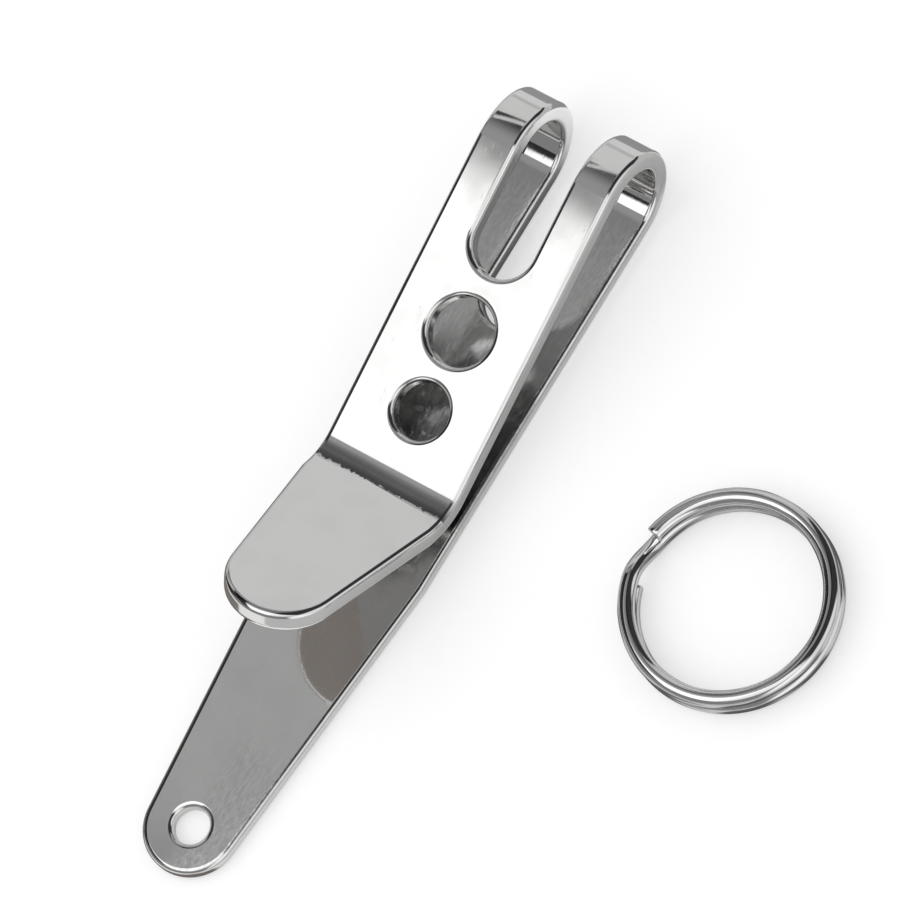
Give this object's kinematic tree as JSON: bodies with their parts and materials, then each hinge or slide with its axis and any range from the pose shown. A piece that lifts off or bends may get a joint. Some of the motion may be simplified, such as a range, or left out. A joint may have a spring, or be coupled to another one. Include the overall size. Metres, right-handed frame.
{
  "type": "key clip",
  "caption": "Folded spring-steel pocket clip for keys: long back leaf with a key eye, spring loops, short front jaw with holes and a bent-up thumb lip, and a loose split ring.",
  "frame": {"origin": "centre of the key eye, on the plane that the back leaf lies on", "axes": "+X from the key eye to the spring loops, +Z out of the back leaf towards the front jaw, +Y across the strip, away from the split ring's side"},
  "size_m": [0.0431, 0.0283, 0.0087],
  "materials": {
    "clip_steel": "mirror polished spring steel",
    "ring_steel": "polished wire"
  },
  "bodies": {
    "clip_back": {"back_leaf": "clip_steel", "left_spring_loop": "clip_steel", "right_spring_loop": "clip_steel"},
    "jaw": {"front_jaw": "clip_steel"},
    "key_ring": {"split_ring": "ring_steel"}
  },
  "joints": [
    {"name": "jaw_flex", "type": "hinge", "parent": "clip_back", "child": "jaw", "pos_m": [0.0373, 0, 0.0032], "axis": [0, 1, 0], "range_deg": [-1.8, 6], "stiffness_Nm_per_rad": 5, "deforming": ["left_spring_loop", "right_spring_loop"]},
    {"name": "ring_lift", "type": "slide", "parent": "clip_back", "child": "key_ring", "axis": [0, 0, 1], "range_m": [0, 0.03]}
  ]
}
